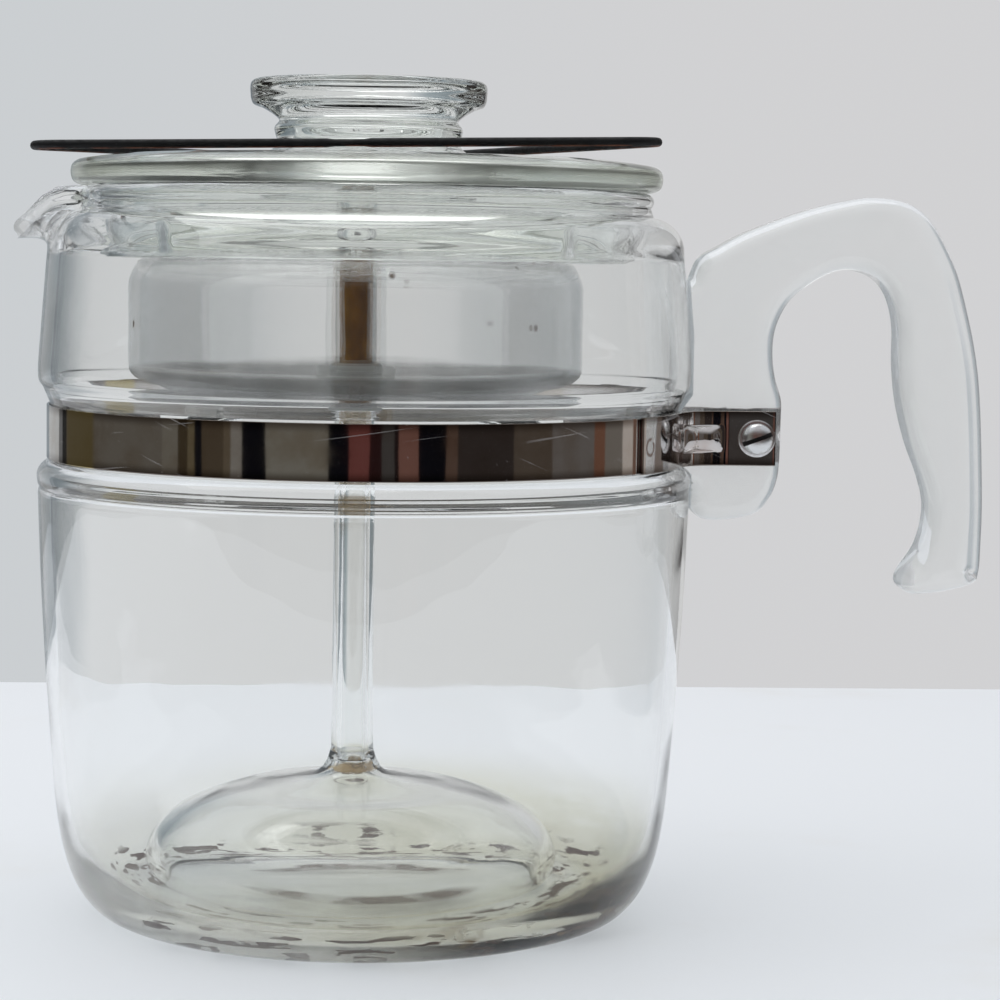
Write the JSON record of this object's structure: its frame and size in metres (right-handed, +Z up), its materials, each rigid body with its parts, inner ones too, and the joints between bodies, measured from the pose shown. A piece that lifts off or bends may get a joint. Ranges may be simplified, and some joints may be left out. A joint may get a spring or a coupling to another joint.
{
  "type": "glass coffee percolator",
  "caption": "Stove-top glass percolator with a pouring lip, strap-clamped glass handle, lift-out pump, basket and cover, knobbed lid and a wire triangle lying on it.",
  "frame": {"origin": "centre of the pot's flat base, on the surface it stands on", "axes": "+Z up along the pot's axis; +X towards the handle, -X towards the pouring lip; +Y to the side away from the clamp screw's head"},
  "size_m": [0.2278, 0.1556, 0.1951],
  "materials": {
    "pot_glass": "clear fire-polished borosilicate glass, light scratches, coffee residue round the floor",
    "handle_glass": "thick pressed glass, slightly milky with fine scratches",
    "lid_glass": "thick pressed glass with a faint green edge",
    "pump_glass": "clear glass tube, brown coffee deposit inside the upper stem",
    "basket_glass": "clear pressed glass, frosted hub",
    "steel_strap": "polished stainless strap, stained and scuffed",
    "steel_bracket": "bright pressed stainless sheet with heat tint",
    "steel_fastener": "plated steel with rust in the recesses",
    "cushion_fibre": "black crumbling gasket fibre",
    "trivet_wire": "blackened steel wire with dust and a trace of rust underneath"
  },
  "bodies": {
    "pot": {"pot_body": "pot_glass", "handle": "handle_glass", "band_strap": "steel_strap", "clamp_bracket_front": "steel_bracket", "clamp_bracket_rear": "steel_bracket", "cushion_front": "cushion_fibre", "cushion_rear": "cushion_fibre", "clamp_washer": "steel_fastener", "lock_washer": "steel_fastener", "clamp_nut": "steel_fastener"},
    "screw": {"clamp_screw": "steel_fastener"},
    "pump": {"pump": "pump_glass"},
    "basket": {"basket": "basket_glass"},
    "cover": {"basket_cover": "basket_glass"},
    "lid": {"lid": "lid_glass"},
    "trivet": {"wire_trivet": "trivet_wire"}
  },
  "joints": [
    {"name": "lid_lift", "type": "slide", "parent": "pot", "child": "lid", "axis": [0, 0, 1], "range_m": [0, 0.36]},
    {"name": "pump_lift", "type": "slide", "parent": "pot", "child": "pump", "axis": [0, 0, 1], "range_m": [0, 0.18]},
    {"name": "basket_lift", "type": "slide", "parent": "pump", "child": "basket", "axis": [0, 0, 1], "range_m": [0, 0.054]},
    {"name": "cover_lift", "type": "slide", "parent": "basket", "child": "cover", "axis": [0, 0, 1], "range_m": [0, 0.036]},
    {"name": "trivet_lift", "type": "slide", "parent": "lid", "child": "trivet", "axis": [0, 0, 1], "range_m": [0, 0.04]},
    {"name": "screw_turn", "type": "hinge", "parent": "pot", "child": "screw", "pos_m": [0.0908, 0, 0.1135], "axis": [0, 1, 0], "continuous": true}
  ],
  "couplings": [
    {"joint": "pump_lift", "follows": "lid_lift", "ratio": 0.5},
    {"joint": "basket_lift", "follows": "lid_lift", "ratio": 0.15},
    {"joint": "cover_lift", "follows": "lid_lift", "ratio": 0.1}
  ]
}
